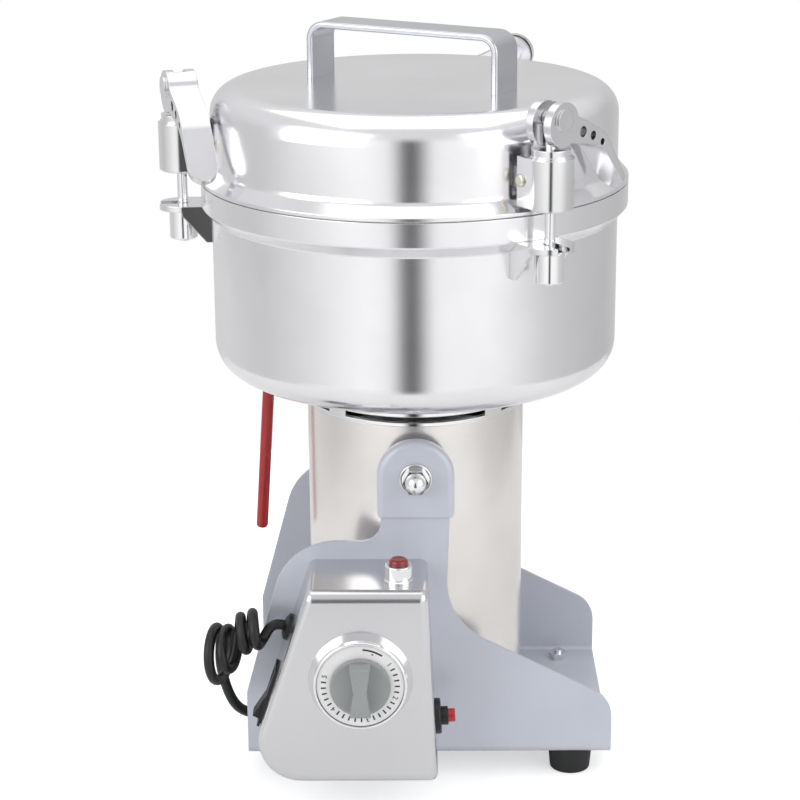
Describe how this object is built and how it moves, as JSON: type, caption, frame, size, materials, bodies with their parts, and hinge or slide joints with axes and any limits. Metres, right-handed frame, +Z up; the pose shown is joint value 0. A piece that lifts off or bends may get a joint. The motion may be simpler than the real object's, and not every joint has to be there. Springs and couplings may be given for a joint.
{
  "type": "electric grain mill",
  "caption": "Tilting kitchen grain mill: round steel bowl with a clamped lid and bail handle on a motor column, hung on trunnions in a painted stand with a control box and cord.",
  "frame": {"origin": "centre of the bounding box's bottom face, measured without the mains lead, on the surface under the feet", "axes": "+Z up, +X along the stand's length towards its sloping end, so -Y is the front with the control box"},
  "size_m": [0.2765, 0.2902, 0.4446],
  "materials": {
    "stand_paint": "smooth grey-blue enamel",
    "steel": "polished stainless",
    "chrome": "bright plated",
    "rubber": "matte",
    "black_plastic": "fine grain",
    "scale_print": "satin, printed scale",
    "knob_grey": "satin",
    "red_lens": "clear red",
    "red_plastic": "gloss",
    "brass": "plated",
    "seal": "silicone",
    "copper": "enamelled winding",
    "iron": "laminated sheet",
    "alloy": "cast",
    "phenolic": "moulded",
    "cord_rubber": "satin sheath"
  },
  "bodies": {
    "stand": {"stand_frame": "stand_paint", "rubber_feet": "rubber", "foot_bolts": "steel", "trunnion_bushes": "black_plastic", "control_box_shell": "steel", "box_screws": "chrome", "dial_collar": "chrome", "dial_scale": "scale_print", "timer_body": "black_plastic", "lamp_bezel": "chrome", "lamp_lens": "red_lens", "panel_nuts": "brass", "overload_body": "black_plastic", "overload_nut": "chrome", "switch_bezel": "black_plastic", "cord_gland": "cord_rubber", "cord_hank": "cord_rubber", "cord_tail": "cord_rubber", "power_plug": "cord_rubber", "plug_pins": "brass"},
    "mill": {"motor_sleeve": "steel", "motor_end_cap": "alloy", "trunnion_bosses": "alloy", "adaptor_ring": "chrome", "bowl_shell": "steel", "lid_seal": "seal", "bowl_forks": "steel", "lid_shell": "steel", "lid_handle": "chrome", "lid_brackets": "steel", "clamp_pins": "brass", "trunnion_bolts": "steel", "trunnion_nuts": "chrome", "tilt_rod": "steel", "tilt_grip": "red_plastic", "stator_core": "iron", "field_coils": "copper", "bearings": "steel", "bearing_brackets": "alloy", "brush_gear": "phenolic"},
    "rotor": {"motor_shaft": "steel", "armature": "iron", "commutator": "copper", "cooling_fan": "alloy", "grinding_blades": "steel", "blade_nut": "steel"},
    "timer": {"timer_knob": "knob_grey", "timer_shaft": "steel"},
    "rocker": {"switch_rocker": "black_plastic"},
    "overload_press": {"overload_button": "red_plastic"},
    "clamp_1": {"clamp_housing_1": "steel"},
    "clamp_stud_body_1": {"clamp_stud_1": "chrome"},
    "clamp_lever_body_1": {"clamp_lever_1": "chrome"},
    "clamp_2": {"clamp_housing_2": "steel"},
    "clamp_stud_body_2": {"clamp_stud_2": "chrome"},
    "clamp_lever_body_2": {"clamp_lever_2": "chrome"},
    "clamp_3": {"clamp_housing_3": "steel"},
    "clamp_stud_body_3": {"clamp_stud_3": "chrome"},
    "clamp_lever_body_3": {"clamp_lever_3": "chrome"}
  },
  "joints": [
    {"name": "mill_tilt", "type": "hinge", "parent": "stand", "child": "mill", "pos_m": [0.01028, 0.00404, 0.192], "axis": [0, 1, 0], "range_deg": [0, 90]},
    {"name": "rotor_spin", "type": "hinge", "parent": "mill", "child": "rotor", "pos_m": [0.01028, 0.00404, 0.15], "axis": [0, 0, 1], "continuous": true},
    {"name": "timer_turn", "type": "hinge", "parent": "stand", "child": "timer", "pos_m": [-0.02172, -0.12496, 0.088], "axis": [0, 1, 0], "range_deg": [0, 290]},
    {"name": "rocker_tip", "type": "hinge", "parent": "stand", "child": "rocker", "pos_m": [-0.07612, -0.09796, 0.068], "axis": [0, 1, 0], "range_deg": [-18, 0]},
    {"name": "overload_button_press", "type": "slide", "parent": "stand", "child": "overload_press", "axis": [-0.9987, 0, -0.0504], "range_m": [0, 0.003], "stiffness_N_per_m": 300, "springref_m": -0.001},
    {"name": "clamp_swing_1", "type": "hinge", "parent": "mill", "child": "clamp_1", "pos_m": [0.07879, -0.10349, 0.376], "axis": [-0.8434, -0.5373, 0], "range_deg": [0, 13.7]},
    {"name": "stud_drop_1", "type": "slide", "parent": "clamp_1", "child": "clamp_stud_body_1", "axis": [0, 0, -1], "range_m": [0, 0.00435]},
    {"name": "lever_turn_1", "type": "hinge", "parent": "clamp_stud_body_1", "child": "clamp_lever_body_1", "pos_m": [0.08389, -0.1115, 0.40985], "axis": [0.749, -0.6626, 0], "range_deg": [0, 118]},
    {"name": "clamp_swing_2", "type": "hinge", "parent": "mill", "child": "clamp_2", "pos_m": [0.06915, 0.11713, 0.376], "axis": [0.887, -0.4617, 0], "range_deg": [0, 13.7]},
    {"name": "stud_drop_2", "type": "slide", "parent": "clamp_2", "child": "clamp_stud_body_2", "axis": [0, 0, -1], "range_m": [0, 0.00435]},
    {"name": "lever_turn_2", "type": "hinge", "parent": "clamp_stud_body_2", "child": "clamp_lever_body_2", "pos_m": [0.07354, 0.12556, 0.40985], "axis": [0.1994, 0.9799, 0], "range_deg": [0, 118]},
    {"name": "clamp_swing_3", "type": "hinge", "parent": "mill", "child": "clamp_3", "pos_m": [-0.1171, -0.00152, 0.376], "axis": [-0.0436, 0.999, 0], "range_deg": [0, 13.7]},
    {"name": "stud_drop_3", "type": "slide", "parent": "clamp_3", "child": "clamp_stud_body_3", "axis": [0, 0, -1], "range_m": [0, 0.00435]},
    {"name": "lever_turn_3", "type": "hinge", "parent": "clamp_stud_body_3", "child": "clamp_lever_body_3", "pos_m": [-0.12659, -0.00194, 0.40985], "axis": [-0.9483, -0.3173, 0], "range_deg": [0, 118]}
  ],
  "couplings": [
    {"joint": "clamp_swing_1", "follows": "lever_turn_1", "ratio": 0.11441},
    {"joint": "stud_drop_1", "follows": "lever_turn_1", "m_per_rad": 0.0020879},
    {"joint": "clamp_swing_2", "follows": "lever_turn_2", "ratio": 0.11441},
    {"joint": "stud_drop_2", "follows": "lever_turn_2", "m_per_rad": 0.0020879},
    {"joint": "clamp_swing_3", "follows": "lever_turn_3", "ratio": 0.11441},
    {"joint": "stud_drop_3", "follows": "lever_turn_3", "m_per_rad": 0.0020879}
  ]
}
